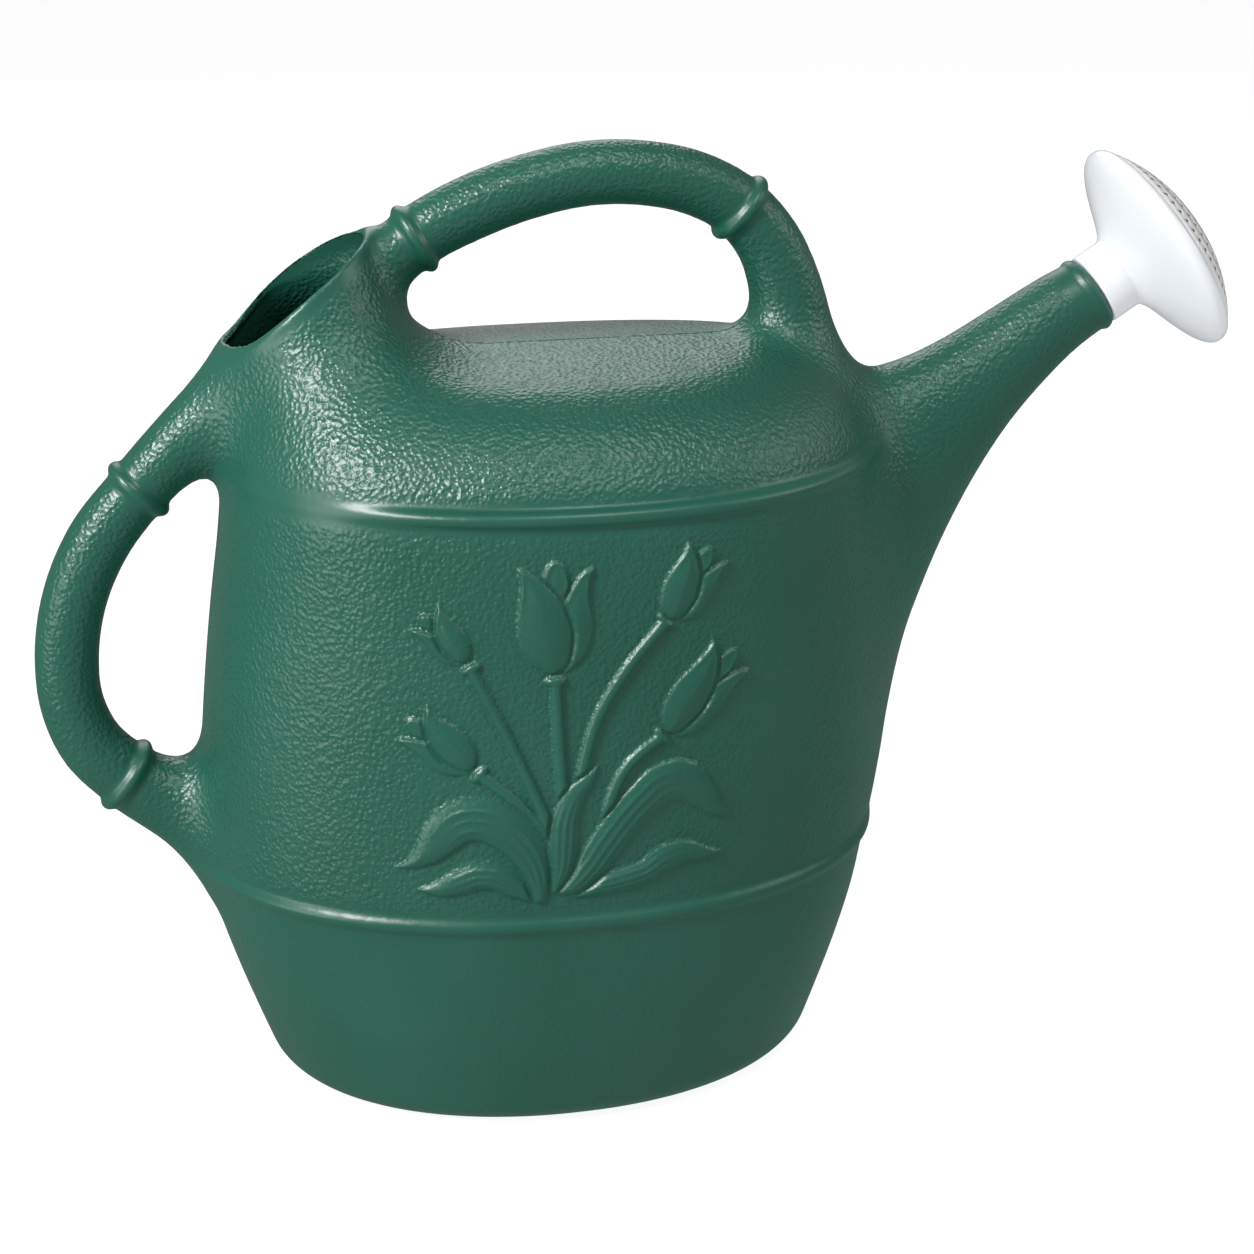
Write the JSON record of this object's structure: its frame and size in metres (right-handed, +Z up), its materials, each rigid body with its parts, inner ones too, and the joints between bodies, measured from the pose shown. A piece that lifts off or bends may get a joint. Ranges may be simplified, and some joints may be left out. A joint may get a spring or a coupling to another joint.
{
  "type": "watering can",
  "caption": "Oval blow-moulded watering can with a carrying handle over the top, a pouring handle at the back, a tapering spout and a pull-off perforated rose.",
  "frame": {"origin": "centre of the foot, on the floor", "axes": "+X towards the spout and rose, +Z up, +Y across the can; the can mirrors across the XZ plane"},
  "size_m": [0.4462, 0.1962, 0.3457],
  "materials": {
    "can_green": "deep green blow-moulded polyethylene with a fine leathery grain",
    "rose_white": "glossy white moulded plastic",
    "rose_face_white": "glossy white moulded plastic with fine spray holes"
  },
  "bodies": {
    "can": {"tank_base": "can_green", "tank_wall": "can_green", "tank_shoulder": "can_green", "top_handle": "can_green", "back_handle": "can_green", "spout": "can_green", "tulips_near": "can_green", "tulips_far": "can_green"},
    "rose": {"rose_bell": "rose_white", "rose_face": "rose_face_white"}
  },
  "joints": [
    {"name": "rose_pull", "type": "slide", "parent": "can", "child": "rose", "axis": [0.8434, 0, 0.5373], "range_m": [0, 0.06]}
  ]
}
